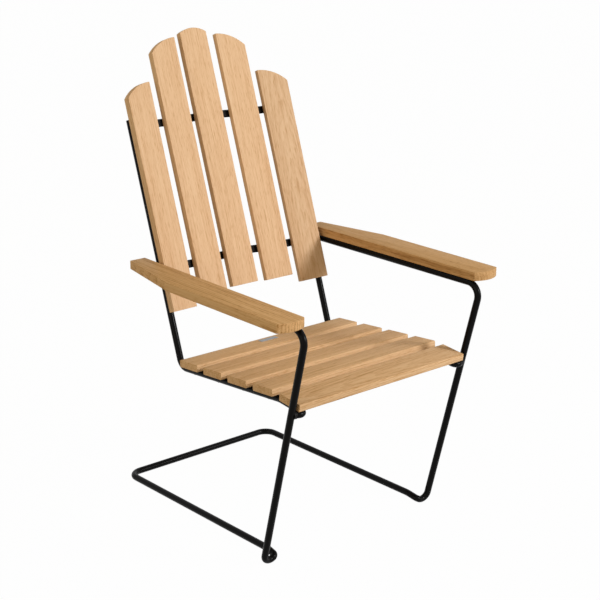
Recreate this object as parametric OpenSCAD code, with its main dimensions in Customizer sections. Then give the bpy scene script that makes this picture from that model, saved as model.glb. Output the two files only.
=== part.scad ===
// Lounge armchair. One long round rod is bent into the floor frame, the front legs and the
// arms. Two side rods carry the back and the seat, and hook into the legs at the front.
// The sitter faces -Y, has the left hand towards +X, and +Z is up. Depths are measured
// from the rear cross rod and heights from the floor, then the whole chair is centred.

/* [Floor frame] */
// Diameter of the rod of the floor frame, legs and arms
frame_rod_d = 15; // [12:0.5:16]
// Length of a runner, from the rear cross rod to the front dip
runner_len = 525; // [480:1:560]
// Rise of the runners towards the front
runner_rise = 10.5; // [6:0.5:16]
// How much further apart the runners are at the rear than at the front
runner_flare = 7; // [0:1:16]
// Bend radius of the rear corners
rear_corner_r = 30; // [20:1:60]
// Bend radius of the dip in front of the runners
dip_r = 80; // [40:5:140]

/* [Feet and legs] */
// Spacing of the legs at the floor
leg_w = 484.2; // [450:0.2:520]
// Depth of a foot loop, from the dip to the loop's inner corner
foot_loop_len = 29.5; // [26:0.5:34]
// Width of a foot loop, from its inner corner to the leg
foot_loop_w = 30.6; // [28:0.2:34]
// Distance from a loop's inner corner back to the leg
foot_set_back = 2.9; // [1:0.1:5]
// Distance from a loop's inner corner in to the runner
foot_inset = 1.5; // [0:0.5:3]
// Rise of the inner corner of a foot loop above its outer corner
foot_in_rise = 15; // [10:0.5:20]
// Bend radius at the inner corner of a foot loop
foot_in_r = 8.5; // [8:0.5:10]
// Bend radius at the outer corner of a foot loop
foot_out_r = 16; // [12:0.5:16.5]
// Forward lean of the legs, in degrees
leg_lean = 14.4; // [10:0.1:18]
// Outward splay of the legs, in degrees
leg_splay = 0.28; // [0:0.02:1]
// Bend radius where the leg turns into the arm
leg_top_r = 28; // [20:1:34]

/* [Arm rods] */
// Height of the arm rod's centre line at the leg
arm_front_z = 552; // [520:1:580]
// Height of the arm rod's centre line at the side rod
arm_rear_z = 556; // [530:1:590]
// Distance that an arm rod draws in from the leg to its rear end
arm_draw_in = 2.8; // [0:0.2:6]
// Bend radius of the hook at the rear end of an arm rod
arm_hook_r = 10; // [8:0.5:11]

/* [Side rods] */
// Diameter of the side rods
side_rod_d = 15; // [12:0.5:16]
// Distance from a side rod out to the middle of the leg
hook_reach = 27.4; // [26:0.2:32]
// Distance of the front hook's corner in front of the middle of the leg
hook_ahead = 9.9; // [6:0.1:13]
// Rise of a hook from its corner to the leg
hook_rise = 0.5; // [0:0.1:0.5]
// Bend radius of the front hooks
hook_r = 9; // [8:0.5:10]
// Distance from the hook's corner back to the knee, where the rods turn down
fall_len = 78.5; // [77:0.5:84]
// Height of the rods' centre line at the knee
knee_z = 376; // [350:1:400]
// Bend radius at the knee
knee_r = 60; // [30:5:80]
// Bend radius between back and seat
seat_bend_r = 25; // [18:1:30]
// Distance of the rods' top ends above the foot of the back, along the back
side_rod_top = 407; // [406:1:430]

/* [Seat slats] */
// Depth of a seat slat, front to back
seat_slat_w = 63.5; // [50:0.5:66]
// Gap between two seat slats
seat_gap = 22.2; // [12:0.1:30]
// Thickness of a seat slat
seat_slat_t = 16; // [14:0.5:20]
// Rounding of the long edges of a seat slat
seat_slat_edge_r = 2; // [0.5:0.5:4]
// Reach of a seat slat past the middle of the side rod
seat_overhang = 17.5; // [12:0.5:18]
// Rise of the seat towards the front, in degrees
seat_slope = 4.45; // [0:0.05:8]
// Fall of the front slat towards the front, in degrees
front_slat_fall = 6; // [0:0.5:12]
// Distance from the front edge of the fourth slat to the knee
knee_behind = 3.7; // [1:0.1:8]
// Distance from the knee to the rear edge of the front slat
knee_ahead = 16; // [10:0.5:17]

/* [Back slats] */
// Lean of the back from upright, in degrees
back_lean = 18.4; // [12:0.1:24]
// Distance from the rear seat slat to the foot of the back, at the middle slat's front face
back_gap = 63; // [60:1:80]
// Height of the foot of the back
back_foot_z = 490; // [470:1:510]
// Width of a back slat
back_slat_w = 73; // [60:1:76]
// Thickness of a back slat
back_slat_t = 14.5; // [12:0.5:18]
// Radius of the bow of the back, to the front faces of the slats
bow_r = 980; // [900:10:1500]
// Distance from the middle of an outer slat out to the middle of the side rod
back_inset = 28.3; // [26:0.1:32]
// Step that brings the inner slats forward of the bow
inner_step = 4.5; // [0:0.5:6]
// Height of the crown of the middle slat above the foot of the back
crown_top = 598; // [560:1:640]
// Radius of the crown of the middle slat
crown_mid_r = 68; // [40:1:120]
// Drop of the lower ends of the inner slats below the foot of the back
inner_drop = 3; // [0:1:10]
// Height of the outer corner of an inner slat
inner_corner = 546; // [500:1:600]
// Drop of the lower ends of the outer slats
outer_drop = 24; // [0:1:40]
// Height of the outer corner of an outer slat
outer_corner = 451; // [440:1:500]
// Radius of the crowns of the inner and outer slats
crown_side_r = 105; // [90:1:140]
// Shift of those crowns' centres towards the middle of the back
crown_side_shift = 40; // [30:1:50]

/* [Back bars] */
// Height of a flat back bar
bar_h = 17; // [14:1:24]
// Thickness of a flat back bar
bar_t = 3; // [2:0.5:5]
// Height of the middle of the lower bar above the foot of the back
bar_low_s = 75.5; // [50:0.5:120]
// Height of the middle of the upper bar above the foot of the back
bar_up_s = 396; // [300:0.5:398]
// Width of the flats that the slats lie on
bar_flat_w = 66; // [40:1:70]
// Overhang of a bar past the middle of the side rod
bar_overhang = 4; // [2:0.5:4]

/* [Armrests] */
// Thickness of an armrest board
arm_board_t = 19; // [16:1:24]
// Distance from the middle of the leg in to the inner edge of a board
arm_board_in = 6.8; // [4:0.2:8]
// Width of a board at its front corners
arm_front_w = 70; // [50:1:85]
// Width of a board at its widest place
arm_mid_w = 72.5; // [55:0.5:90]
// Width of a board at its rear end
arm_rear_w = 38.5; // [30:0.5:50]
// Length of a board from its front corners to its rear end
arm_len = 543; // [535:1:570]
// Distance from the front corners back to the widest place
arm_wide_at = 356.5; // [300:0.5:400]
// Distance of the front corners behind the top corner of the leg
arm_nose_back = 14.3; // [12:0.1:20]
// Radius of the rounded front end of a board
arm_nose_r = 57; // [50:1:90]

/* [Armrest tabs] */
// Thickness of the steel tabs under a board
tab_t = 3; // [2:0.5:4]
// Width of a tab along the arm
tab_w = 24; // [16:1:40]
// Reach of a tab outwards from the middle of the rod
tab_reach = 27; // [22:1:34]
// Distance of the front tabs behind the front corners of the board
tab_front_at = 89; // [70:1:120]
// Distance of the rear tabs behind the front corners
tab_rear_at = 419; // [340:1:430]
// Distance from the middle of the rod to the screw of a tab
tab_screw_x = 18; // [16:0.5:20]

/* [Screws] */
// Diameter of a screw's shank
screw_d = 4; // [3:0.5:5]
// Diameter of a screw's head
screw_head_d = 8; // [7:0.5:9]
// Height of a screw's head
screw_head_h = 2.6; // [2:0.2:3.4]
// Depth that a screw reaches into the wood
screw_bite = 10; // [6:0.5:11.5]
// Depth of the flat seat of a screw head in a side rod
screw_seat = 2.5; // [1.5:0.5:3]

/* [Label plate] */
// Length of the bare label plate
label_len = 48; // [30:1:80]
// Depth of the label plate
label_w = 14; // [8:1:30]
// Thickness of the label plate
label_t = 0.8; // [0.5:0.1:2]
// Distance from the rear edge of the slat to the middle of the plate
label_in = 18.5; // [16:0.5:40]

/* [Fits] */
// Swell of the rod's diameter in a bend
bend_swell = 0.2; // [0.2:0.05:0.4]
// Lap of a bend over the straights beside it
bend_lap = 0.3; // [0.2:0.05:0.4]
// Clearance between a rod's end and the rod that it is welded to
weld_gap = 0.2; // [0.1:0.1:0.5]
// Radius of a bar's weld bead, and how far the bead at a rod's end reaches past that end
bead_w = 3; // [2:0.5:3]
// Distance that the bead round a rod's end stands out from the rod
end_bead_w = 1.5; // [1:0.25:2]
// Clearance on the diameter of a hole in wood
wood_clear = 0.2; // [0.1:0.1:0.5]
// Clearance on the diameter of a hole in steel
steel_clear = 0.6; // [0.2:0.1:1]

/* [Hidden] */
$fn = 48;
steel = "#1b1a1b";
oak = "#c89a66";
zinc = "#b9bcc0";

frame_r = frame_rod_d / 2;
bend_tube_r = (frame_rod_d + bend_swell) / 2;
side_r = side_rod_d / 2;

// Vectors
function unit(v) = v / norm(v);
function half_angle(p, i) = acos(unit(p[i - 1] - p[i]) * unit(p[i + 1] - p[i])) / 2;
function reversed(r) = [for (i = [len(r) - 1 : -1 : 0]) r[i]];
function mirrored(p) = [for (v = reversed(p)) [-v.x, v.y, v.z]];

// Length that each bend takes from the straights beside it, with room left for the last one
function tangents(p, r, i = 1, before = 0) = i > len(p) - 2 ? [0] :
    let (wanted = r[i - 1] / tan(half_angle(p, i)), room = norm(p[i] - p[i - 1]) - before - 0.1)
    let (t = min(wanted, room))
    concat([t], tangents(p, r, i + 1, t));

// Foot loop: the outer bend stands on the floor
leg_dir = unit([tan(leg_splay), -tan(leg_lean), 1]);
foot_back = unit([-foot_loop_w, -foot_set_back, foot_in_rise]);
foot_half = acos(foot_back * leg_dir) / 2;
foot_axis = unit(cross(foot_back, leg_dir));
foot_sag = unit(foot_back + leg_dir).z * foot_out_r / sin(foot_half)
    - foot_out_r * sqrt(1 - foot_axis.z * foot_axis.z);
foot_z = bend_tube_r - foot_sag;
foot_in = [leg_w / 2 - foot_loop_w, -runner_len - foot_loop_len, foot_z + foot_in_rise];
foot_out = [leg_w / 2, foot_in.y + foot_set_back, foot_z];
function leg_at(z) = foot_out + leg_dir * (z - foot_z) / leg_dir.z;

// Seat: from the knee the side rods' centre line falls to the front hook
leg_knee = leg_at(knee_z);
side_x = leg_knee.x - hook_reach;
hook_y = hook_ahead - leg_knee.y;
knee_y = hook_y - fall_len;
knee = [side_x, -knee_y, knee_z];
seat_pitch = seat_slat_w + seat_gap;
seat_len = knee_behind + 3 * seat_pitch + seat_slat_w;
seat_slat_len = 2 * (side_x + seat_overhang);
seat_up = [0, sin(seat_slope), cos(seat_slope)];
fall_front = [0, -cos(front_slat_fall), -sin(front_slat_fall)];

// Back: its own frame has Z along the slats, Y through them to the rear, and its origin at
// the foot of the middle slat's front face
back_foot = [0, seat_len + back_gap - knee_y, back_foot_z];
back_up = [0, sin(back_lean), cos(back_lean)];
back_rear = [0, cos(back_lean), -sin(back_lean)];
bow_step = asin((side_x - back_inset) / bow_r) / 2;
bar_front_r = bow_r + back_slat_t;
// Depth of the side rods in that frame: they touch the rear of the bars' outer flats
side_depth = (bar_front_r + bar_t + side_r - side_x * sin(2 * bow_step)) / cos(2 * bow_step) - bow_r;
function side_rod_at(s) = back_foot + back_rear * side_depth + back_up * s + [side_x, 0, 0];
function side_rod_s(z) = (z - back_foot_z - back_rear.z * side_depth) / back_up.z;
// The bars are level, so they cross a slat lower down the further it stands forward
function slat_step(k) = abs(k) == 1 ? inner_step : 0;
function bar_drop(k) = (bar_front_r * (1 - cos(k * bow_step)) + slat_step(k)) * tan(back_lean);

// The side rods' centre line runs from the knee back to the back's line
back_base = side_rod_at(0);
seat_bend_len = ((back_base - knee) * seat_up) / (back_up * seat_up);
seat_bend = back_base - back_up * seat_bend_len;
hook_corner = knee + fall_front * (fall_len / cos(front_slat_fall));
hook_aim = leg_at(hook_corner.z + hook_rise);
hook_dir = unit(hook_aim - hook_corner);
// The hook ends on the leg's surface
hook_side = norm(cross(hook_dir, leg_dir));
hook_end = hook_aim - hook_dir * ((frame_r + weld_gap) / hook_side);

// Arms
leg_top = leg_at(arm_front_z);
arm_s = side_rod_s(arm_rear_z);
arm_corner = [leg_top.x - arm_draw_in, side_rod_at(arm_s).y, arm_rear_z];
arm_end = [side_x + side_r + weld_gap, arm_corner.y, arm_rear_z];
arm_rise = atan((arm_rear_z - arm_front_z) / (arm_corner.y - leg_top.y));
function arm_rod_x(y) = leg_top.x - arm_draw_in * (y - leg_top.y) / (arm_corner.y - leg_top.y);
board_x = leg_top.x - arm_board_in;
board_y = leg_top.y + arm_nose_back;
// A tab starts halfway out on the rod, where it has some thickness above it
tab_from = frame_r / 2;

// Paths of the rods
dip_x = foot_in.x - foot_inset;
half_path = [[dip_x + runner_flare / 2, 0, bend_tube_r], [dip_x, -runner_len, bend_tube_r + runner_rise],
    foot_in, foot_out, leg_top, arm_corner, arm_end];
half_path_r = [rear_corner_r, dip_r, foot_in_r, foot_out_r, leg_top_r, arm_hook_r];
frame_path = concat(mirrored(half_path), half_path);
frame_path_r = concat(reversed(half_path_r), half_path_r);
side_path = [side_rod_at(side_rod_top), seat_bend, knee, hook_corner, hook_end];
side_path_r = [seat_bend_r, knee_r, hook_r];

// Middle of the chair from front to rear
leg_bend_half = half_angle(half_path, 4);
leg_bend_y = leg_top.y + leg_top_r / sin(leg_bend_half)
    * unit(unit(foot_out - leg_top) + unit(arm_corner - leg_top)).y;
nose_sag = arm_nose_r - sqrt(arm_nose_r * arm_nose_r - arm_front_w * arm_front_w / 4);
board_front = (board_y - nose_sag) * cos(arm_rise);
front_y = min(leg_bend_y - leg_top_r - bend_tube_r, board_front);
rear_y = max(frame_r, (back_foot + back_rear * back_slat_t + back_up * crown_top).y);
mid_y = (front_y + rear_y) / 2;

// Placing
module centred() {
    translate([0, -mid_y, 0]) children();
}
module both_sides() {
    children();
    mirror([1, 0, 0]) children();
}
module back_plane() {
    centred() translate(back_foot) rotate([-back_lean, 0, 0]) children();
}
// Place of back slat k, counted from the middle
module on_back(k) {
    back_plane() translate([0, -bow_r, 0]) rotate([0, 0, -k * bow_step])
        translate([0, bow_r - slat_step(k), 0]) children();
}
// Where the bar at height s crosses slat k, with Z forwards out of the bar's rear face
module on_bar(k, s) {
    on_back(k) translate([0, back_slat_t + bar_t, s - bar_drop(k)]) rotate([90, 0, 0]) children();
}
// Top face of the sloping part of the seat, with Y to the rear from the knee
module on_seat() {
    centred() translate([0, -knee_y, knee_z]) rotate([-seat_slope, 0, 0])
        translate([0, 0, side_r + seat_slat_t]) children();
}
// Top face of the falling front part
module on_fall() {
    centred() translate([0, -knee_y, knee_z]) rotate([front_slat_fall, 0, 0])
        translate([0, 0, side_r + seat_slat_t]) children();
}
// Lower face of the left armrest, with Y to the rear from the cross rod's depth
module under_arm() {
    centred() translate([0, leg_top.y, arm_front_z]) rotate([arm_rise, 0, 0])
        translate([0, -leg_top.y, frame_r]) children();
}

// Rod shapes
module frame_to(x, y, z, at) {
    multmatrix([[x.x, y.x, z.x, at.x], [x.y, y.y, z.y, at.y], [x.z, y.z, z.z, at.z], [0, 0, 0, 1]])
        children();
}
module straight(a, b, d) {
    z = unit(b - a);
    side = abs(z.x) > 0.9 ? [0, 0, 1] : [1, 0, 0];
    x = unit(cross(side, z));
    frame_to(x, cross(z, x), z, a) cylinder(d = d, h = norm(b - a));
}
// Bend at corner i of a rod's path. It takes the length t from the straights beside it.
module rod_bend(p, i, t, d) {
    back = unit(p[i - 1] - p[i]);
    on = unit(p[i + 1] - p[i]);
    half = half_angle(p, i);
    x = unit(back + on);
    z = unit(cross(back, on));
    bend = 180 - 2 * half;
    frame_to(-x, cross(x, z), z, p[i] + x * (t / cos(half))) rotate([0, 0, -bend / 2])
        rotate_extrude(angle = bend, $fn = 96) translate([t * tan(half), 0]) circle(d = d);
}
module rod(p, r, d) {
    t = concat([0], tangents(p, r));
    last = len(p) - 2;
    for (i = [0 : last]) {
        along = unit(p[i + 1] - p[i]);
        from = p[i] + along * (t[i] - (i > 0 ? bend_lap : 0));
        to = p[i + 1] - along * (t[i + 1] - (i < last ? bend_lap : 0));
        straight(from, to, d);
    }
    for (i = [1 : last]) rod_bend(p, i, t[i], d + bend_swell);
}

// Screw with its head's flat at z = 0, its shank up along Z, and a cross recess below
module screw(grip) {
    recess = screw_head_h * 0.6;
    difference() {
        union() {
            cylinder(d = screw_d, h = grip + screw_bite);
            translate([0, 0, -screw_head_h / 2]) cylinder(d = screw_head_d, h = screw_head_h / 2);
            translate([0, 0, -screw_head_h])
                cylinder(d1 = screw_head_d * 0.7, d2 = screw_head_d, h = screw_head_h / 2);
        }
        for (a = [0, 90]) rotate([0, 0, a]) translate([0, 0, -screw_head_h + recess / 2 - 0.5])
            cube([screw_head_d * 0.5, 1, recess + 1], center = true);
    }
}
module wood_hole() {
    cylinder(d = screw_d + wood_clear, h = screw_bite + 0.5);
}
module steel_hole(length) {
    translate([0, 0, -1]) cylinder(d = screw_d + steel_clear, h = length + 2);
}

// Bead of a fillet weld round the end of a rod that comes along dir and ends near a rod's axis
module bead(end, dir, d) {
    back = unit(-dir);
    side = abs(back.x) > 0.9 ? [0, 0, 1] : [1, 0, 0];
    x = unit(cross(side, back));
    frame_to(x, cross(back, x), back, end - back * bead_w)
        cylinder(d1 = d + 2 * end_bead_w, d2 = d + end_bead_w, h = bead_w + 2 * end_bead_w);
}

// Steel frame
module base_frame() {
    color(steel) centred() rod(frame_path, frame_path_r, frame_rod_d);
}
// Screws through a side rod stand at the middle of each seat slat
module at_seat_screws() {
    for (i = [0 : 3]) translate([0, knee_behind + i * seat_pitch + seat_slat_w / 2, 0]) children();
}
module seat_screw_holes() {
    on_seat() at_seat_screws() side_rod_drill();
    on_fall() translate([0, -knee_ahead - seat_slat_w / 2, 0]) side_rod_drill();
}
module side_rod_drill() {
    translate([side_x, 0, -seat_slat_t - side_rod_d]) {
        steel_hole(side_rod_d);
        translate([0, 0, screw_seat - side_rod_d]) cylinder(d = screw_head_d + 1, h = side_rod_d);
    }
}
module side_rod() {
    color(steel) difference() {
        centred() rod(side_path, side_path_r, side_rod_d);
        seat_screw_holes();
    }
}
module left_side_rod() {
    side_rod();
}
module right_side_rod() {
    mirror([1, 0, 0]) side_rod();
}

// Back bars: level strips with a flat behind each slat and a bend on either side of it
function bow_point(k, x, y) = let (a = k * bow_step, r = bow_r - slat_step(k) + y)
    [x * cos(a) + r * sin(a), r * cos(a) - x * sin(a) - bow_r];
// Distance along the outer flat from the middle of its slat to the side rod
rod_seat = (side_x - bar_front_r * sin(2 * bow_step)) / cos(2 * bow_step);
function bar_side(y) = [for (k = [-2 : 2], side = [-1, 1])
    bow_point(k, side * (side * k == 2 ? rod_seat + bar_overhang : bar_flat_w / 2), y)];
module back_bar(s) {
    color(steel) difference() {
        intersection() {
            back_plane() translate([0, 0, s - 3 * bar_h]) linear_extrude(6 * bar_h)
                polygon(concat(bar_side(back_slat_t), reversed(bar_side(back_slat_t + bar_t))));
            centred() translate(back_foot + back_up * s + back_rear * back_slat_t)
                cube([4 * side_x, 4 * bow_r, bar_h * cos(back_lean)], center = true);
        }
        for (k = [-2 : 2]) on_bar(k, s) steel_hole(bar_t);
    }
}
module upper_back_bar() {
    back_bar(bar_up_s);
}
module lower_back_bar() {
    back_bar(bar_low_s);
}

// Back slats, numbered from the sitter's right. k counts from the middle, and is positive
// to the sitter's left. The outer corner is the lower one of the top.
module back_slat(k, drop, corner, crown_r, crown_shift) {
    rise = sqrt(crown_r * crown_r - pow(back_slat_w / 2 + crown_shift, 2));
    crown_z = corner - rise;
    color(oak) on_back(k) difference() {
        mirror([k < 0 ? 1 : 0, 0, 0]) {
            translate([-back_slat_w / 2, 0, -drop]) cube([back_slat_w, back_slat_t, crown_z + drop]);
            intersection() {
                translate([-back_slat_w / 2, 0, crown_z - 1]) cube([back_slat_w, back_slat_t, crown_r + 2]);
                translate([-crown_shift, back_slat_t, crown_z]) rotate([90, 0, 0])
                    cylinder(r = crown_r, h = back_slat_t, $fn = 180);
            }
        }
        for (s = [bar_low_s, bar_up_s]) translate([0, back_slat_t, s - bar_drop(k)]) rotate([90, 0, 0])
            wood_hole();
    }
}
module inner_back_slat(k) {
    back_slat(k, inner_drop, inner_corner, crown_side_r, crown_side_shift);
}
module outer_back_slat(k) {
    back_slat(k, outer_drop, outer_corner, crown_side_r, crown_side_shift);
}
module back_slat_1() {
    outer_back_slat(-2);
}
module back_slat_2() {
    inner_back_slat(-1);
}
module back_slat_3() {
    corner = crown_top - crown_mid_r + sqrt(crown_mid_r * crown_mid_r - back_slat_w * back_slat_w / 4);
    back_slat(0, 0, corner, crown_mid_r, 0);
}
module back_slat_4() {
    inner_back_slat(1);
}
module back_slat_5() {
    outer_back_slat(2);
}

// Seat slats, numbered from the rear. Each has its top face at z = 0 and its front edge at y = 0.
module seat_slat_blank() {
    r = seat_slat_edge_r;
    color(oak) difference() {
        translate([-seat_slat_len / 2, 0, -seat_slat_t]) rotate([90, 0, 90]) linear_extrude(seat_slat_len) {
            translate([r, 0]) square([seat_slat_w - 2 * r, seat_slat_t]);
            translate([0, r]) square([seat_slat_w, seat_slat_t - 2 * r]);
            for (y = [r, seat_slat_w - r], z = [r, seat_slat_t - r]) translate([y, z]) circle(r = r);
        }
        for (side = [-1, 1]) translate([side * side_x, seat_slat_w / 2, -seat_slat_t]) wood_hole();
    }
}
module seat_slat(i) {
    on_seat() translate([0, knee_behind + (4 - i) * seat_pitch, 0]) seat_slat_blank();
}
module seat_slat_1() {
    seat_slat(1);
}
module seat_slat_2() {
    seat_slat(2);
}
module seat_slat_3() {
    seat_slat(3);
}
module seat_slat_4() {
    seat_slat(4);
}
module seat_slat_5() {
    on_fall() translate([0, -knee_ahead - seat_slat_w, 0]) seat_slat_blank();
}

// Armrests
module board_solid() {
    x = board_x;
    rear_y = board_y + arm_len;
    linear_extrude(arm_board_t) {
        polygon([[x, rear_y], [x, board_y], [x + arm_front_w, board_y],
            [x + arm_mid_w, board_y + arm_wide_at], [x + arm_rear_w, rear_y]]);
        intersection() {
            translate([x + arm_front_w / 2, board_y - nose_sag + arm_nose_r])
                circle(r = arm_nose_r, $fn = 180);
            translate([x, board_y - arm_nose_r]) square([arm_front_w, arm_nose_r]);
        }
    }
}
module at_tabs() {
    for (y = [board_y + tab_front_at, board_y + tab_rear_at]) translate([arm_rod_x(y), y, 0]) children();
}
module armrest() {
    color(oak) under_arm() difference() {
        board_solid();
        at_tabs() translate([tab_screw_x, 0, 0]) wood_hole();
    }
}
module left_armrest() {
    armrest();
}
module right_armrest() {
    mirror([1, 0, 0]) armrest();
}
module arm_tabs() {
    color(steel) difference() {
        under_arm() at_tabs() difference() {
            translate([tab_from, -tab_w / 2, -tab_t]) cube([tab_reach - tab_from, tab_w, tab_t]);
            translate([tab_screw_x, 0, -tab_t]) steel_hole(tab_t);
        }
        centred() straight(leg_top, arm_corner, frame_rod_d);
    }
}
module left_arm_tabs() {
    arm_tabs();
}
module right_arm_tabs() {
    mirror([1, 0, 0]) arm_tabs();
}

// Bare label plate on the rear seat slat
module label_plate() {
    color(zinc) on_seat()
        translate([-label_len / 2, knee_behind + 3 * seat_pitch + seat_slat_w - label_in - label_w / 2, 0])
            cube([label_len, label_w, label_t]);
}

// Screws
module bar_screws(s) {
    color(zinc) for (k = [-2 : 2]) on_bar(k, s) screw(bar_t);
}
module upper_bar_screws() {
    bar_screws(bar_up_s);
}
module lower_bar_screws() {
    bar_screws(bar_low_s);
}
module seat_screw() {
    grip = side_rod_d - screw_seat;
    translate([side_x, 0, -seat_slat_t - grip]) screw(grip);
}
module seat_screws() {
    color(steel) {
        on_seat() at_seat_screws() seat_screw();
        on_fall() translate([0, -knee_ahead - seat_slat_w / 2, 0]) seat_screw();
    }
}
module left_seat_screws() {
    seat_screws();
}
module right_seat_screws() {
    mirror([1, 0, 0]) seat_screws();
}
module arm_screws() {
    color(zinc) under_arm() at_tabs() translate([tab_screw_x, 0, -tab_t]) screw(tab_t);
}
module left_arm_screws() {
    arm_screws();
}
module right_arm_screws() {
    mirror([1, 0, 0]) arm_screws();
}

// Weld beads
module hook_welds() {
    color(steel) both_sides() centred() difference() {
        bead(hook_end, hook_dir, side_rod_d);
        straight(hook_corner, hook_end + hook_dir * bead_w, side_rod_d);
        straight(foot_out, leg_top, frame_rod_d);
    }
}
module arm_welds() {
    color(steel) both_sides() centred() difference() {
        bead(arm_end, [-1, 0, 0], frame_rod_d);
        straight(arm_end - [bead_w, 0, 0], arm_corner, frame_rod_d);
        straight(seat_bend, side_rod_at(side_rod_top), side_rod_d);
    }
}
// A bead fills the corner between the rear of a bar and the inner side of a side rod
module bar_welds() {
    color(steel) both_sides() for (s = [bar_low_s, bar_up_s]) difference() {
        on_bar(2, s) translate([rod_seat - side_r * 0.75, bar_h / 2 - 1, -bead_w / 3]) rotate([90, 0, 0])
            cylinder(r = bead_w, h = bar_h - 2);
        on_bar(2, s) translate([rod_seat - 4 * side_r, -bar_h, 0]) cube([8 * side_r, 2 * bar_h, 4 * bead_w]);
        centred() straight(seat_bend, side_rod_at(side_rod_top + bar_h), side_rod_d);
    }
}

base_frame();
left_side_rod();
right_side_rod();
upper_back_bar();
lower_back_bar();
back_slat_1();
back_slat_2();
back_slat_3();
back_slat_4();
back_slat_5();
seat_slat_1();
seat_slat_2();
seat_slat_3();
seat_slat_4();
seat_slat_5();
left_armrest();
right_armrest();
left_arm_tabs();
right_arm_tabs();
label_plate();
upper_bar_screws();
lower_bar_screws();
left_seat_screws();
right_seat_screws();
left_arm_screws();
right_arm_screws();
hook_welds();
arm_welds();
bar_welds();
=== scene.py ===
"""Garden lounge armchair: black bent steel rod with light wood slats and armrests.

The placing follows the CAD model's named values, in metres. Each wooden board is remade
with eased edges, and each bent rod as one smooth tube.
"""
import math

import bmesh
import bpy
from mathutils import Matrix, Vector


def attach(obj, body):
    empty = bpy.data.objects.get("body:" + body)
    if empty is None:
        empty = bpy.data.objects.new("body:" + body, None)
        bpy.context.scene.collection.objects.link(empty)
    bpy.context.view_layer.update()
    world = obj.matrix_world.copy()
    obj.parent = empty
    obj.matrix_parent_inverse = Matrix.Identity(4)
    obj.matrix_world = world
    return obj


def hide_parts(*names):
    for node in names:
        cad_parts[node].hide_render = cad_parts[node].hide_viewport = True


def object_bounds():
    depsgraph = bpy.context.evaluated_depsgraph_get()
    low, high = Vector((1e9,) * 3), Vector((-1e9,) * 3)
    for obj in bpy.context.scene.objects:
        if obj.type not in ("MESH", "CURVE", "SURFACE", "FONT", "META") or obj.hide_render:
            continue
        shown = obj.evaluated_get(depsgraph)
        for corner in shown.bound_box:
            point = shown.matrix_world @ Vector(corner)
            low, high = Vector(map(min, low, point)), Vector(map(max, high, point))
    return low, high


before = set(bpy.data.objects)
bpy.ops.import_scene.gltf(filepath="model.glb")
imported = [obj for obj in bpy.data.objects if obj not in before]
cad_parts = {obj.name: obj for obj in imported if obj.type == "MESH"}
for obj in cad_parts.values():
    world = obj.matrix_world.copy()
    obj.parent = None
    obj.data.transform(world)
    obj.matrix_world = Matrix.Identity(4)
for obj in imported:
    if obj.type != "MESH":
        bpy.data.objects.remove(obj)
cad_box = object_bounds()

# Camera
IMAGE_WIDTH = 600
FOCAL_PX = 1330.93
CAMERA_AT = Vector((-1.8084, -2.17765, 1.3591))
CAMERA_AZIMUTH = math.radians(40.28)
CAMERA_PITCH = math.radians(17.15)

camera_data = bpy.data.cameras.new("photo_camera")
camera_data.sensor_fit = "HORIZONTAL"
camera_data.sensor_width = 36.0
camera_data.lens = FOCAL_PX / IMAGE_WIDTH * camera_data.sensor_width
camera = bpy.data.objects.new("photo_camera", camera_data)
camera.location = CAMERA_AT
camera.rotation_euler = (math.pi / 2 - CAMERA_PITCH, 0.0, -CAMERA_AZIMUTH)
bpy.context.collection.objects.link(camera)
scene = bpy.context.scene
scene.camera = camera
scene.view_settings.view_transform = "Standard"

# Driving sizes, as in the CAD model
FRAME_ROD_D = 0.015
RUNNER_LEN, RUNNER_RISE, RUNNER_FLARE = 0.525, 0.0105, 0.007
REAR_CORNER_R, DIP_R = 0.030, 0.080

LEG_W = 0.4842
FOOT_LOOP_LEN, FOOT_LOOP_W, FOOT_SET_BACK, FOOT_INSET = 0.0295, 0.0306, 0.0029, 0.0015
FOOT_IN_RISE, FOOT_IN_R, FOOT_OUT_R = 0.015, 0.0085, 0.016
LEG_LEAN, LEG_SPLAY = math.radians(14.4), math.radians(0.28)
LEG_TOP_R = 0.028
ARM_FRONT_Z, ARM_REAR_Z, ARM_DRAW_IN, ARM_HOOK_R = 0.552, 0.556, 0.0028, 0.010

SIDE_ROD_D, SIDE_ROD_TOP = 0.015, 0.407
HOOK_REACH, HOOK_AHEAD, HOOK_RISE, HOOK_R = 0.0274, 0.0099, 0.0005, 0.009
FALL_LEN, KNEE_Z, KNEE_R, SEAT_BEND_R = 0.0785, 0.376, 0.060, 0.025

SEAT_SLAT_W, SEAT_GAP, SEAT_SLAT_T = 0.0635, 0.0222, 0.016
SEAT_OVERHANG = 0.0175
SEAT_SLOPE, FRONT_SLAT_FALL = math.radians(4.45), math.radians(6.0)
KNEE_BEHIND, KNEE_AHEAD = 0.0037, 0.016

BACK_LEAN = math.radians(18.4)
BACK_GAP, BACK_FOOT_Z = 0.063, 0.490
BACK_SLAT_W, BACK_SLAT_T = 0.073, 0.0145
BOW_R, BACK_INSET, INNER_STEP = 0.980, 0.0283, 0.0045
CROWN_TOP, CROWN_MID_R = 0.598, 0.068
INNER_DROP, INNER_CORNER = 0.003, 0.546
OUTER_DROP, OUTER_CORNER = 0.024, 0.451
CROWN_SIDE_R, CROWN_SIDE_SHIFT = 0.105, 0.040
BAR_T = 0.003

ARM_BOARD_T, ARM_BOARD_IN = 0.019, 0.0068
ARM_FRONT_W, ARM_MID_W, ARM_REAR_W = 0.070, 0.0725, 0.0385
ARM_LEN, ARM_WIDE_AT, ARM_NOSE_BACK, ARM_NOSE_R = 0.543, 0.3565, 0.0143, 0.057

WELD_GAP, BEND_SWELL = 0.0002, 0.0002


# Derived places
def half_angle(corner, before, after):
    return (before - corner).angle(after - corner) / 2


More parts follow.
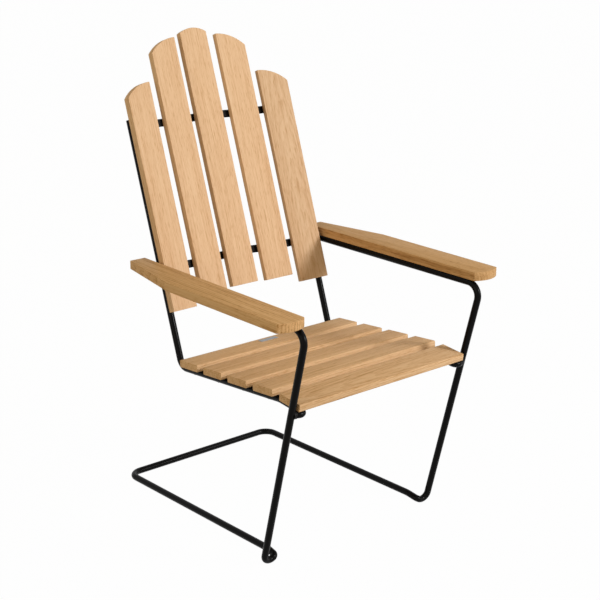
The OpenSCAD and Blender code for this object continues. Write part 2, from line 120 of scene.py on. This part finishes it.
FRAME_R = FRAME_ROD_D / 2
BEND_TUBE_R = (FRAME_ROD_D + BEND_SWELL) / 2
SIDE_R = SIDE_ROD_D / 2

leg_dir = Vector((math.tan(LEG_SPLAY), -math.tan(LEG_LEAN), 1.0)).normalized()
foot_back = Vector((-FOOT_LOOP_W, -FOOT_SET_BACK, FOOT_IN_RISE)).normalized()
foot_half = foot_back.angle(leg_dir) / 2
foot_axis = foot_back.cross(leg_dir).normalized()
foot_sag = ((foot_back + leg_dir).normalized().z * FOOT_OUT_R / math.sin(foot_half)
            - FOOT_OUT_R * math.sqrt(1 - foot_axis.z ** 2))
foot_z = BEND_TUBE_R - foot_sag
foot_in = Vector((LEG_W / 2 - FOOT_LOOP_W, -RUNNER_LEN - FOOT_LOOP_LEN, foot_z + FOOT_IN_RISE))
foot_out = Vector((LEG_W / 2, foot_in.y + FOOT_SET_BACK, foot_z))


def leg_at(z):
    return foot_out + leg_dir * ((z - foot_out.z) / leg_dir.z)


side_x = leg_at(KNEE_Z).x - HOOK_REACH
knee = Vector((side_x, leg_at(KNEE_Z).y - HOOK_AHEAD + FALL_LEN, KNEE_Z))
seat_pitch = SEAT_SLAT_W + SEAT_GAP
seat_len = KNEE_BEHIND + 3 * seat_pitch + SEAT_SLAT_W
seat_slat_len = 2 * (side_x + SEAT_OVERHANG)
seat_up = Vector((0.0, math.sin(SEAT_SLOPE), math.cos(SEAT_SLOPE)))
fall_front = Vector((0.0, -math.cos(FRONT_SLAT_FALL), -math.sin(FRONT_SLAT_FALL)))

back_foot = Vector((0.0, knee.y + seat_len + BACK_GAP, BACK_FOOT_Z))
back_up = Vector((0.0, math.sin(BACK_LEAN), math.cos(BACK_LEAN)))
back_rear = Vector((0.0, math.cos(BACK_LEAN), -math.sin(BACK_LEAN)))
bow_step = math.asin((side_x - BACK_INSET) / BOW_R) / 2
side_depth = ((BOW_R + BACK_SLAT_T + BAR_T + SIDE_R - side_x * math.sin(2 * bow_step))
              / math.cos(2 * bow_step) - BOW_R)


def side_rod_at(height):
    return back_foot + back_rear * side_depth + back_up * height + Vector((side_x, 0.0, 0.0))


def side_rod_height(z):
    return (z - BACK_FOOT_Z - back_rear.z * side_depth) / back_up.z


back_base = side_rod_at(0.0)
seat_bend = back_base - back_up * ((back_base - knee).dot(seat_up) / back_up.dot(seat_up))
hook_corner = knee + fall_front * (FALL_LEN / math.cos(FRONT_SLAT_FALL))
hook_aim = leg_at(hook_corner.z + HOOK_RISE)
hook_dir = (hook_aim - hook_corner).normalized()
hook_end = hook_aim - hook_dir * ((FRAME_R + WELD_GAP) / hook_dir.cross(leg_dir).length)

leg_top = leg_at(ARM_FRONT_Z)
arm_corner = Vector((leg_top.x - ARM_DRAW_IN, side_rod_at(side_rod_height(ARM_REAR_Z)).y, ARM_REAR_Z))
arm_end = Vector((side_x + SIDE_R + WELD_GAP, arm_corner.y, ARM_REAR_Z))
arm_rise = math.atan((ARM_REAR_Z - ARM_FRONT_Z) / (arm_corner.y - leg_top.y))
board_x = leg_top.x - ARM_BOARD_IN
board_y = leg_top.y + ARM_NOSE_BACK

# The CAD model is centred front to rear on its whole box. The middle back slat's crown is its rear end.
crown_rear = back_foot + back_rear * BACK_SLAT_T + back_up * CROWN_TOP
CENTRED = Matrix.Translation((0.0, cad_box[1][1] - crown_rear.y, 0.0))
MIRROR = Matrix.Scale(-1.0, 4, (1.0, 0.0, 0.0))


def turn_x(angle):
    return Matrix.Rotation(angle, 4, "X")


def on_back(step):
    """From a back slat's own frame, with Z up along it and Y through it to the rear."""
    forward = INNER_STEP if abs(step) == 1 else 0.0
    return (CENTRED @ Matrix.Translation(back_foot) @ turn_x(-BACK_LEAN)
            @ Matrix.Translation((0.0, -BOW_R, 0.0)) @ Matrix.Rotation(-step * bow_step, 4, "Z")
            @ Matrix.Translation((0.0, BOW_R - forward, 0.0)))


def on_seat():
    return (CENTRED @ Matrix.Translation((0.0, knee.y, KNEE_Z)) @ turn_x(-SEAT_SLOPE)
            @ Matrix.Translation((0.0, 0.0, SIDE_R + SEAT_SLAT_T)))


def on_fall():
    return (CENTRED @ Matrix.Translation((0.0, knee.y, KNEE_Z)) @ turn_x(FRONT_SLAT_FALL)
            @ Matrix.Translation((0.0, 0.0, SIDE_R + SEAT_SLAT_T)))


def under_arm():
    return (CENTRED @ Matrix.Translation((0.0, leg_top.y, ARM_FRONT_Z)) @ turn_x(arm_rise)
            @ Matrix.Translation((0.0, -leg_top.y, FRAME_R)))


# Finishes
class Finish:
    """A material, with short ways to build its node tree."""

    def __init__(self, name):
        self.material = bpy.data.materials.new(name)
        self.material.use_nodes = True
        self.tree = self.material.node_tree
        self.shader = self.tree.nodes["Principled BSDF"]

    def add(self, kind, **values):
        node = self.tree.nodes.new(kind)
        for key, value in values.items():
            setattr(node, key, value)
        return node

    def link(self, a, b):
        self.tree.links.new(a, b)

    def feed(self, socket, value):
        if isinstance(value, bpy.types.NodeSocket):
            self.link(value, socket)
        else:
            socket.default_value = value

    def object_place(self):
        return self.add("ShaderNodeTexCoord").outputs["Object"]

    def mapped(self, vector, location=(0.0, 0.0, 0.0), rotation=(0.0, 0.0, 0.0), scale=(1.0, 1.0, 1.0)):
        node = self.add("ShaderNodeMapping", vector_type="POINT")
        node.inputs["Location"].default_value = location
        node.inputs["Rotation"].default_value = rotation
        node.inputs["Scale"].default_value = scale
        self.link(vector, node.inputs["Vector"])
        return node.outputs["Vector"]

    def noise(self, vector, scale=1.0, detail=2.0, roughness=0.5, output="Fac"):
        node = self.add("ShaderNodeTexNoise")
        node.inputs["Scale"].default_value = scale
        node.inputs["Detail"].default_value = detail
        node.inputs["Roughness"].default_value = roughness
        self.link(vector, node.inputs["Vector"])
        return node.outputs[output]

    def sideways(self, vector, detail, reach):
        """A wandering shift across and through a board, by up to half the reach."""
        wander = self.noise(vector, detail=detail, output="Color")
        wander = self.vector_math("SUBTRACT", wander, (0.5, 0.5, 0.5))
        return self.vector_math("MULTIPLY", wander, (0.0, reach, reach))

    def ramp(self, value, stops):
        node = self.add("ShaderNodeValToRGB")
        elements = node.color_ramp.elements
        while len(elements) < len(stops):
            elements.new(0.5)
        for element, (at, color) in zip(elements, stops):
            element.position = at
            element.color = (*color, 1.0)
        self.link(value, node.inputs["Fac"])
        return node.outputs["Color"]

    def spread(self, value, low, high, out_low, out_high, smooth=False):
        """The value's range from low to high, spread over out_low to out_high."""
        node = self.add("ShaderNodeMapRange", interpolation_type="SMOOTHSTEP" if smooth else "LINEAR")
        node.inputs["From Min"].default_value = low
        node.inputs["From Max"].default_value = high
        node.inputs["To Min"].default_value = out_low
        node.inputs["To Max"].default_value = out_high
        self.link(value, node.inputs["Value"])
        return node.outputs["Result"]

    def math(self, operation, *values):
        node = self.add("ShaderNodeMath", operation=operation)
        for socket, value in zip(node.inputs, values):
            self.feed(socket, value)
        return node.outputs["Value"]

    def vector_math(self, operation, *values):
        node = self.add("ShaderNodeVectorMath", operation=operation)
        for socket, value in zip(node.inputs, values):
            self.feed(socket, value)
        return node.outputs["Vector"]

    def bump(self, height, strength, distance):
        node = self.add("ShaderNodeBump")
        node.inputs["Strength"].default_value = strength
        node.inputs["Distance"].default_value = distance
        self.link(height, node.inputs["Height"])
        self.link(node.outputs["Normal"], self.shader.inputs["Normal"])


BACK_TONES = ((0.820, 0.578, 0.380), (0.730, 0.480, 0.294), (0.545, 0.302, 0.145))
SEAT_TONES = ((0.810, 0.552, 0.330), (0.716, 0.458, 0.256), (0.500, 0.275, 0.112))
ARM_TONES = ((0.740, 0.472, 0.245), (0.632, 0.374, 0.170), (0.390, 0.195, 0.066))
# A Wave texture of scale 1 has a ring at each step of this size
WAVE_STEP = math.pi / 10
# How much each layer of the grain darkens the wood
LATE_WOOD, BANDS, STRANDS, FIBRES, PORES, END_GRAIN = 0.18, 0.45, 0.62, 1.05, 0.34, 0.08


def wood(name, to_board, tones, seed, tone, figure, ring_width, pith):
    """Oiled light hardwood. to_board brings a point into x along the grain, y across and z through
    the board. The growth rings stand round the pith, a line beside the board that leans a little
    from its grain."""
    n = Finish(name)
    board = n.mapped(n.object_place(), to_board.translation, to_board.to_euler())
    own = n.mapped(board, seed)
    drift = n.sideways(n.mapped(own, scale=(1.8, 11.0, 11.0)), 2.0, 0.016)
    waver = n.sideways(n.mapped(own, scale=(14.0, 90.0, 90.0)), 1.0, 0.003)
    drift = n.vector_math("ADD", drift, waver)
    grain = n.vector_math("ADD", own, drift)
    round_pith = n.mapped(n.vector_math("ADD", board, drift), (0.0, -pith[0], -pith[1]),
                          (0.0, pith[2], pith[3]))

    rings = n.add("ShaderNodeTexWave", wave_type="RINGS", rings_direction="X", wave_profile="SAW")
    rings.inputs["Scale"].default_value = WAVE_STEP / ring_width
    rings.inputs["Distortion"].default_value = 1.3
    rings.inputs["Detail"].default_value = 1.0
    rings.inputs["Detail Scale"].default_value = 0.7
    n.link(n.mapped(round_pith, scale=(0.05, 1.0, 1.0)), rings.inputs["Vector"])
    late_wood = n.spread(rings.outputs["Fac"], 0.25, 0.95, 0.0, 1.0, smooth=True)
    bands = n.noise(n.mapped(grain, scale=(1.1, 30.0, 30.0)), detail=1.0)
    strands = n.noise(n.mapped(grain, scale=(2.6, 120.0, 120.0)), detail=2.0, roughness=0.6)
    fibres = n.noise(n.mapped(grain, scale=(9.0, 370.0, 370.0)), detail=2.0, roughness=0.7)
    pores = n.noise(n.mapped(grain, scale=(60.0, 560.0, 560.0)), detail=1.0)
    pores = n.spread(pores, 0.50, 0.72, 0.0, 1.0)
    end_grain = n.add("ShaderNodeAttribute", attribute_name="end_grain").outputs["Fac"]

    depth = n.math("MULTIPLY_ADD", late_wood, LATE_WOOD * figure, n.math("MULTIPLY", bands, BANDS))
    depth = n.math("MULTIPLY_ADD", strands, STRANDS * figure, depth)
    depth = n.math("MULTIPLY_ADD", fibres, FIBRES, depth)
    depth = n.math("MULTIPLY_ADD", pores, PORES, depth)
    depth = n.math("MULTIPLY_ADD", end_grain, END_GRAIN * figure, depth)
    middle = (BANDS + FIBRES) / 2 + PORES / 4 + (LATE_WOOD + STRANDS) / 2 * figure
    shaded = n.spread(depth, middle - 0.5, middle + 0.5, 0.0, 1.0)
    pale, mid, deep = (tuple(channel * tone for channel in color) for color in tones)
    n.link(n.ramp(shaded, [(0.0, pale), (0.5, mid), (1.0, deep)]), n.shader.inputs["Base Color"])
    n.link(n.spread(fibres, 0.2, 0.8, 0.54, 0.68), n.shader.inputs["Roughness"])
    n.shader.inputs["Specular IOR Level"].default_value = 0.14
    relief = n.math("SUBTRACT", n.math("MULTIPLY", fibres, 0.6), pores)
    n.bump(relief, 0.25, 0.0003)
    return n.material


def enamel(name, color, roughness, gloss, skin_scale):
    """Stove enamel on steel: nearly black, with a faint orange-peel skin."""
    n = Finish(name)
    place = n.object_place()
    patches = n.noise(place, 14.0, 3.0, 0.6)
    lighter = tuple(channel * 1.6 for channel in color)
    n.link(n.ramp(patches, [(0.35, color), (0.70, lighter)]), n.shader.inputs["Base Color"])
    n.link(n.spread(patches, 0.3, 0.7, roughness - 0.03, roughness + 0.05), n.shader.inputs["Roughness"])
    n.shader.inputs["Specular IOR Level"].default_value = gloss
    n.bump(n.noise(place, skin_scale), 0.05, 0.0002)
    return n.material


def enamelled_weld():
    n = Finish("enamelled_weld")
    ripple = n.noise(n.object_place(), 420.0)
    n.link(n.ramp(ripple, [(0.3, (0.003, 0.0028, 0.003)), (0.75, (0.008, 0.0075, 0.008))]),
           n.shader.inputs["Base Color"])
    n.link(n.spread(ripple, 0.3, 0.7, 0.34, 0.5), n.shader.inputs["Roughness"])
    n.shader.inputs["Specular IOR Level"].default_value = 0.14
    n.bump(ripple, 0.5, 0.0012)
    return n.material


def zinc(name, color, roughness):
    n = Finish(name)
    spangle = n.noise(n.object_place(), 260.0, 3.0, 0.6)
    duller = tuple(channel * 0.72 for channel in color)
    n.link(n.ramp(spangle, [(0.35, duller), (0.65, color)]), n.shader.inputs["Base Color"])
    n.link(n.spread(spangle, 0.3, 0.7, roughness - 0.06, roughness + 0.1), n.shader.inputs["Roughness"])
    n.shader.inputs["Metallic"].default_value = 0.85
    n.bump(spangle, 0.1, 0.0003)
    return n.material


def brushed_label():
    """Bare metal, brushed along its length."""
    n = Finish("brushed_label_plate")
    lines = n.noise(n.mapped(n.object_place(), scale=(30.0, 1800.0, 1800.0)))
    n.link(n.ramp(lines, [(0.3, (0.25, 0.28, 0.33)), (0.7, (0.36, 0.39, 0.44))]),
           n.shader.inputs["Base Color"])
    n.link(n.spread(lines, 0.3, 0.7, 0.42, 0.55), n.shader.inputs["Roughness"])
    n.shader.inputs["Metallic"].default_value = 0.4
    n.bump(lines, 0.12, 0.0002)
    return n.material


rod_enamel = enamel("black_rod_enamel", (0.0018, 0.0016, 0.0017), 0.28, 0.07, 160.0)
bar_enamel = enamel("black_bar_enamel", (0.0020, 0.0018, 0.0019), 0.40, 0.05, 160.0)
weld_enamel = enamelled_weld()
screw_zinc = zinc("zinc_screws", (0.62, 0.62, 0.60), 0.38)
screw_black = enamel("blackened_screws", (0.0050, 0.0047, 0.0050), 0.36, 0.09, 900.0)
label_metal = brushed_label()


def dress(node, material):
    """Gives a CAD node that stays its finish."""
    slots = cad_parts[node].data.materials
    slots.clear()
    slots.append(material)


for node in ("upper_back_bar", "lower_back_bar", "left_arm_tabs", "right_arm_tabs"):
    dress(node, bar_enamel)
for node in ("hook_welds", "arm_welds", "bar_welds"):
    dress(node, weld_enamel)
for node in ("upper_bar_screws", "lower_bar_screws", "left_arm_screws", "right_arm_screws"):
    dress(node, screw_zinc)
for node in ("left_seat_screws", "right_seat_screws"):
    dress(node, screw_black)
dress("label_plate", label_metal)


# Pieces
MERGE = 1e-6


def finish_piece(builder, name, node, material, smooth_angle):
    """Makes an object of the mesh, at the origin, that stands for a CAD node."""
    bmesh.ops.remove_doubles(builder, verts=builder.verts, dist=MERGE)
    bmesh.ops.recalc_face_normals(builder, faces=builder.faces)
    for face in builder.faces:
        face.smooth = True
    for edge in builder.edges:
        edge.smooth = edge.calc_face_angle(math.pi) < smooth_angle
    mesh = bpy.data.meshes.new(name)
    builder.to_mesh(mesh)
    builder.free()
    mesh.materials.append(material)
    piece = bpy.data.objects.new(name, mesh)
    bpy.context.collection.objects.link(piece)
    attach(piece, "root")
    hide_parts(node)
    return piece


TUBE_SIDES = 32
BEND_STEP = math.radians(4.0)
ROD_END_EASE = 0.0008
ROD_SMOOTH = math.radians(50.0)
# Least length of a straight between two bends, as in the CAD model
MIN_STRAIGHT = 0.0001


def grown_parts(grown, kind):
    return [part for part in grown if isinstance(part, kind)]


def bent_rod(name, node, corners, radii, diameter, mirror=Matrix.Identity(4)):
    """A round rod: a ring drawn along each straight, and spun round each bend."""
    builder = bmesh.new()
    along = (corners[1] - corners[0]).normalized()
    start = along.to_track_quat("Z", "Y").to_matrix().to_4x4()
    start.translation = corners[0]
    ring = bmesh.ops.create_circle(builder, cap_ends=True, segments=TUBE_SIDES, radius=diameter / 2,
                                   matrix=start)["verts"]
    edges = list({edge for vert in ring for edge in vert.link_edges})
    here, taken = corners[0], 0.0
    for i in range(1, len(corners)):
        along = (corners[i] - corners[i - 1]).normalized()
        room = (corners[i] - corners[i - 1]).length - taken - MIN_STRAIGHT
        last = i == len(corners) - 1
        if not last:
            half = half_angle(corners[i], corners[i - 1], corners[i + 1])
        taken = 0.0 if last else min(radii[i - 1] / math.tan(half), room)
        bend_start = corners[i] - along * taken
        grown = bmesh.ops.extrude_edge_only(builder, edges=edges)["geom"]
        bmesh.ops.translate(builder, vec=bend_start - here, verts=grown_parts(grown, bmesh.types.BMVert))
        edges = grown_parts(grown, bmesh.types.BMEdge)
        if not last:
            onward = (corners[i + 1] - corners[i]).normalized()
            inward = (onward - along * onward.dot(along)).normalized()
            bend = math.pi - 2 * half
            spun = bmesh.ops.spin(builder, geom=edges, cent=bend_start + inward * taken * math.tan(half),
                                  axis=along.cross(onward).normalized(), angle=bend,
                                  steps=max(6, int(bend / BEND_STEP)), use_duplicate=False)["geom_last"]
            edges = grown_parts(spun, bmesh.types.BMEdge)
            here = corners[i] + onward * taken
    bmesh.ops.contextual_create(builder, geom=edges)
    ends = [face for face in builder.faces if len(face.verts) == TUBE_SIDES]
    bmesh.ops.bevel(builder, geom=list({edge for face in ends for edge in face.edges}), offset=ROD_END_EASE,
                    offset_type="OFFSET", segments=2, profile=0.5, affect="EDGES", clamp_overlap=True,
                    material=-1)
    builder.transform(mirror @ CENTRED)
    return finish_piece(builder, name, node, rod_enamel, ROD_SMOOTH)


half_path = [Vector((foot_in.x - FOOT_INSET + RUNNER_FLARE / 2, 0.0, BEND_TUBE_R)),
             Vector((foot_in.x - FOOT_INSET, -RUNNER_LEN, BEND_TUBE_R + RUNNER_RISE)),
             foot_in, foot_out, leg_top, arm_corner, arm_end]
half_radii = [REAR_CORNER_R, DIP_R, FOOT_IN_R, FOOT_OUT_R, LEG_TOP_R, ARM_HOOK_R]
other_half = [MIRROR @ corner for corner in reversed(half_path)]
bent_rod("base_frame_tube", "base_frame", other_half + half_path, half_radii[::-1] + half_radii,
         FRAME_ROD_D)

side_path = [side_rod_at(SIDE_ROD_TOP), seat_bend, knee, hook_corner, hook_end]
side_radii = [SEAT_BEND_R, KNEE_R, HOOK_R]
bent_rod("left_side_rod_tube", "left_side_rod", side_path, side_radii, SIDE_ROD_D)
bent_rod("right_side_rod_tube", "right_side_rod", side_path, side_radii, SIDE_ROD_D, MIRROR)

SHARP = math.radians(25.0)
BOARD_SMOOTH = math.radians(40.0)
# A face is end grain where its normal's share along the grain is above this
END_GRAIN_FROM = 0.75
# An edge of an outline runs along X where its direction's share along X is above this
ALONG_X_FROM = 0.99


def sharp_edges(builder):
    return [edge for edge in builder.edges if edge.calc_face_angle(0.0) > SHARP]


def board(node, slot, tones, to_board, outline, through, place, ease, long_ease=None):
    """A board: its outline is a closed chain of edges, thickened, and with its edges eased.
    Edges along the outline's X axis are eased by long_ease where that is given."""
    bmesh.ops.remove_doubles(outline, verts=outline.verts, dist=MERGE)
    face = bmesh.ops.contextual_create(outline, geom=outline.edges[:])["faces"][0]
    grown = bmesh.ops.extrude_face_region(outline, geom=[face])["geom"]
    bmesh.ops.translate(outline, vec=through, verts=grown_parts(grown, bmesh.types.BMVert))
    bmesh.ops.recalc_face_normals(outline, faces=outline.faces)
    if long_ease:
        along_x = [edge for edge in outline.edges
                   if abs((edge.verts[0].co - edge.verts[1].co).normalized().x) > ALONG_X_FROM]
        bmesh.ops.bevel(outline, geom=along_x, offset=long_ease, offset_type="OFFSET", segments=4,
                        profile=0.5, affect="EDGES", clamp_overlap=True, material=-1)
    bmesh.ops.bevel(outline, geom=sharp_edges(outline), offset=ease, offset_type="OFFSET", segments=3,
                    profile=0.5, affect="EDGES", clamp_overlap=True, material=-1)
    outline.transform(place)
    outline.normal_update()
    end_grain = outline.faces.layers.float.new("end_grain")
    for face in outline.faces:
        face[end_grain] = float(abs((to_board.to_3x3() @ face.normal).x) > END_GRAIN_FROM)
    material = wood(node + "_wood", to_board, tones, *GRAIN[node])
    return finish_piece(outline, node + "_board", node, material, BOARD_SMOOTH)


def chain(builder, points, close=True):
    """Edges from point to point."""
    verts = [builder.verts.new(point) for point in points]
    for a, b in zip(verts, verts[1:] + (verts[:1] if close else [])):
        builder.edges.new((a, b))


def arc(builder, start, centre, axis, angle, steps):
    """Edges swept by one point that turns round a centre."""
    point = builder.verts.new(start)
    bmesh.ops.spin(builder, geom=[point], cent=centre, axis=axis, angle=angle, steps=steps,
                   use_duplicate=False)


# Each board's grain: its place in the pattern, its tone, how strong the figure is, the width of a
# growth ring, and its pith, given as the distances across and through the board and the pith's lean
# in two directions
GRAIN = {
    "back_slat_1": ((0.31, 1.70, 2.30), 1.02, 0.8, 0.0027, (0.110, 0.060, 0.020, 0.004)),
    "back_slat_2": ((1.37, 4.10, 0.90), 1.03, 0.8, 0.0027, (-0.150, 0.050, -0.012, 0.010)),
    "back_slat_3": ((2.11, 0.60, 3.70), 1.03, 0.9, 0.0030, (0.090, 0.080, 0.015, -0.010)),
    "back_slat_4": ((0.83, 2.90, 5.20), 1.03, 0.8, 0.0027, (-0.080, 0.070, 0.018, 0.014)),
    "back_slat_5": ((3.19, 3.30, 1.10), 0.93, 1.2, 0.0025, (0.010, 0.050, 0.045, 0.012)),
    "seat_slat_1": ((0.53, 2.10, 1.30), 1.00, 1.6, 0.0030, (0.080, -0.070, 0.012, 0.006)),
    "seat_slat_2": ((1.91, 0.70, 2.90), 1.00, 1.7, 0.0030, (-0.060, -0.050, 0.025, 0.012)),
    "seat_slat_3": ((2.77, 3.90, 0.40), 0.97, 1.6, 0.0030, (0.120, -0.060, -0.018, 0.004)),
    "seat_slat_4": ((0.12, 1.20, 4.60), 0.97, 1.7, 0.0030, (-0.100, -0.070, 0.014, 0.010)),
    "seat_slat_5": ((3.43, 2.60, 2.20), 0.96, 1.5, 0.0040, (0.020, -0.045, 0.045, 0.010)),
    "left_armrest": ((1.30, 2.40, 0.70), 0.92, 1.2, 0.0070, (0.090, -0.008, 0.020, 0.006)),
    "right_armrest": ((0.40, 5.10, 1.90), 0.98, 1.9, 0.0070, (-0.085, 0.004, 0.022, -0.008)),
}


def axes(along, across, through):
    """Turns a board's own axes into x along the grain, y across it and z through the board."""
    return Matrix((along, across, through)).to_4x4()


BACK_EASE = 0.0006
CROWN_STEPS = 28


def back_slat(number, step, drop, corner, crown_r, shift):
    """The step counts from the middle. A side slat's crown is highest towards the middle of the back."""
    half_w = BACK_SLAT_W / 2
    mirror = -1.0 if step < 0 else 1.0
    centre = Vector((-shift, 0.0, corner - math.sqrt(crown_r ** 2 - (half_w + shift) ** 2)))
    outer = Vector((half_w, 0.0, corner))
    inner = Vector((-half_w, 0.0, centre.z + math.sqrt(crown_r ** 2 - (half_w - shift) ** 2)))
    outline = bmesh.new()
    arc(outline, outer, centre, Vector((0.0, -1.0, 0.0)), (outer - centre).angle(inner - centre),
        CROWN_STEPS)
    chain(outline, [inner, Vector((-half_w, 0.0, -drop)), Vector((half_w, 0.0, -drop)), outer],
          close=False)
    node = "back_slat_%d" % number
    to_board = axes((0, 0, 1), (1, 0, 0), (0, 1, 0)) @ on_back(step).inverted()
    board(node, "slat_wood", BACK_TONES, to_board, outline, Vector((0.0, BACK_SLAT_T, 0.0)),
          on_back(step) @ Matrix.Scale(mirror, 4, (1.0, 0.0, 0.0)), BACK_EASE)


back_slat(1, -2, OUTER_DROP, OUTER_CORNER, CROWN_SIDE_R, CROWN_SIDE_SHIFT)
back_slat(2, -1, INNER_DROP, INNER_CORNER, CROWN_SIDE_R, CROWN_SIDE_SHIFT)
middle_corner = CROWN_TOP - CROWN_MID_R + math.sqrt(CROWN_MID_R ** 2 - BACK_SLAT_W ** 2 / 4)
back_slat(3, 0, 0.0, middle_corner, CROWN_MID_R, 0.0)
back_slat(4, 1, INNER_DROP, INNER_CORNER, CROWN_SIDE_R, CROWN_SIDE_SHIFT)
back_slat(5, 2, OUTER_DROP, OUTER_CORNER, CROWN_SIDE_R, CROWN_SIDE_SHIFT)

SEAT_LONG_EASE = 0.0020
SEAT_END_EASE = 0.0005


def seat_slat(number, front_edge):
    half = seat_slat_len / 2
    outline = bmesh.new()
    chain(outline, [Vector((-half, 0.0, 0.0)), Vector((half, 0.0, 0.0)),
                    Vector((half, SEAT_SLAT_W, 0.0)), Vector((-half, SEAT_SLAT_W, 0.0))])
    node = "seat_slat_%d" % number
    to_board = axes((1, 0, 0), (0, 1, 0), (0, 0, 1)) @ front_edge.inverted()
    board(node, "slat_wood", SEAT_TONES, to_board, outline, Vector((0.0, 0.0, -SEAT_SLAT_T)), front_edge,
          SEAT_END_EASE, SEAT_LONG_EASE)


for number in range(1, 5):
    seat_slat(number, on_seat() @ Matrix.Translation((0.0, KNEE_BEHIND + (4 - number) * seat_pitch, 0.0)))
seat_slat(5, on_fall() @ Matrix.Translation((0.0, -KNEE_AHEAD - SEAT_SLAT_W, 0.0)))

ARM_EASE = 0.0006
NOSE_STEPS = 24


def armrest(node, side):
    """side is 1 for the left armrest, and -1 for the right one."""
    nose_sag = ARM_NOSE_R - math.sqrt(ARM_NOSE_R ** 2 - ARM_FRONT_W ** 2 / 4)
    centre = Vector((board_x + ARM_FRONT_W / 2, board_y - nose_sag + ARM_NOSE_R, 0.0))
    inner, outer = Vector((board_x, board_y, 0.0)), Vector((board_x + ARM_FRONT_W, board_y, 0.0))
    widest = Vector((board_x + ARM_MID_W, board_y + ARM_WIDE_AT, 0.0))
    rear_outer = Vector((board_x + ARM_REAR_W, board_y + ARM_LEN, 0.0))
    rear_inner = Vector((board_x, board_y + ARM_LEN, 0.0))
    outline = bmesh.new()
    arc(outline, inner, centre, Vector((0.0, 0.0, 1.0)), (inner - centre).angle(outer - centre),
        NOSE_STEPS)
    chain(outline, [outer, widest, rear_outer, rear_inner, inner], close=False)
    middle = Matrix.Translation((side * (board_x + ARM_MID_W / 2), board_y, 0.0))
    to_board = axes((0, 1, 0), (-1, 0, 0), (0, 0, 1)) @ (under_arm() @ middle).inverted()
    board(node, "arm_wood", ARM_TONES, to_board, outline, Vector((0.0, 0.0, ARM_BOARD_T)),
          Matrix.Scale(side, 4, (1.0, 0.0, 0.0)) @ under_arm(), ARM_EASE)


armrest("left_armrest", 1.0)
armrest("right_armrest", -1.0)

# Floor and light
FLOOR_HALF = 30.0
floor_builder = bmesh.new()
bmesh.ops.create_grid(floor_builder, x_segments=1, y_segments=1, size=FLOOR_HALF)
floor_mesh = bpy.data.meshes.new("studio_floor")
floor_builder.to_mesh(floor_mesh)
floor_builder.free()
floor = bpy.data.objects.new("studio_floor", floor_mesh)
bpy.context.collection.objects.link(floor)


def seen_rays(tree):
    """1 for the rays that show the background: from the camera, in a reflection or through glass."""
    rays = tree.nodes.new("ShaderNodeLightPath")
    either = tree.nodes.new("ShaderNodeMath")
    either.operation = "MAXIMUM"
    tree.links.new(rays.outputs["Is Camera Ray"], either.inputs[0])
    tree.links.new(rays.outputs["Is Glossy Ray"], either.inputs[1])
    third = tree.nodes.new("ShaderNodeMath")
    third.operation = "MAXIMUM"
    tree.links.new(either.outputs["Value"], third.inputs[0])
    tree.links.new(rays.outputs["Is Transmission Ray"], third.inputs[1])
    return third.outputs["Value"]


# The floor shows as white, with a trace of its own light and shade left
FLOOR_WHITE = 0.985
FLOOR_COLOR = (0.50, 0.50, 0.50, 1.0)
paper = Finish("studio_floor")
paper.shader.inputs["Base Color"].default_value = FLOOR_COLOR
paper.shader.inputs["Roughness"].default_value = 0.9
paper.shader.inputs["Specular IOR Level"].default_value = 0.1
white = paper.add("ShaderNodeEmission")
blend = paper.add("ShaderNodeMixShader")
paper.link(paper.math("MULTIPLY", seen_rays(paper.tree), FLOOR_WHITE), blend.inputs["Fac"])
paper.link(paper.shader.outputs["BSDF"], blend.inputs[1])
paper.link(white.outputs["Emission"], blend.inputs[2])
paper.link(blend.outputs["Shader"], paper.tree.nodes["Material Output"].inputs["Surface"])
floor_mesh.materials.append(paper.material)

AMBIENT = 0.39
AMBIENT_COLOR = (1.0, 0.87, 0.56, 1.0)
world = bpy.data.worlds.new("studio_world")
world.use_nodes = True
scene.world = world
tree = world.node_tree
ambient = tree.nodes["Background"]
ambient.inputs["Color"].default_value = AMBIENT_COLOR
ambient.inputs["Strength"].default_value = AMBIENT
backdrop = tree.nodes.new("ShaderNodeBackground")
backdrop.inputs["Color"].default_value = (1.0, 1.0, 1.0, 1.0)
backdrop.inputs["Strength"].default_value = 1.0
world_blend = tree.nodes.new("ShaderNodeMixShader")
tree.links.new(seen_rays(tree), world_blend.inputs["Fac"])
tree.links.new(ambient.outputs["Background"], world_blend.inputs[1])
tree.links.new(backdrop.outputs["Background"], world_blend.inputs[2])
tree.links.new(world_blend.outputs["Shader"], tree.nodes["World Output"].inputs["Surface"])

LAMPS_AIM = Vector((0.0, 0.0, 0.55))


def softbox(name, azimuth, elevation, distance, size, level, color=(1.0, 1.0, 1.0)):
    """A square area lamp that looks at the chair. Azimuth 0 stands in front of it, and 90 to the
    sitter's left. The level is the brightness that a white surface at the chair gets from it when
    it faces the lamp."""
    lamp = bpy.data.lights.new(name, "AREA")
    lamp.size = size
    lamp.energy = level * (math.pi * distance) ** 2
    lamp.color = color
    a, e = math.radians(azimuth), math.radians(elevation)
    away = Vector((math.sin(a) * math.cos(e), -math.cos(a) * math.cos(e), math.sin(e)))
    holder = bpy.data.objects.new(name, lamp)
    holder.location = LAMPS_AIM + away * distance
    holder.rotation_euler = away.to_track_quat("Z", "Y").to_euler()
    bpy.context.collection.objects.link(holder)


softbox("key_light", 27.0, 22.0, 5.0, 0.95, 0.68)
softbox("side_fill", -80.0, 15.0, 5.0, 2.0, 0.16, (1.0, 0.90, 0.68))
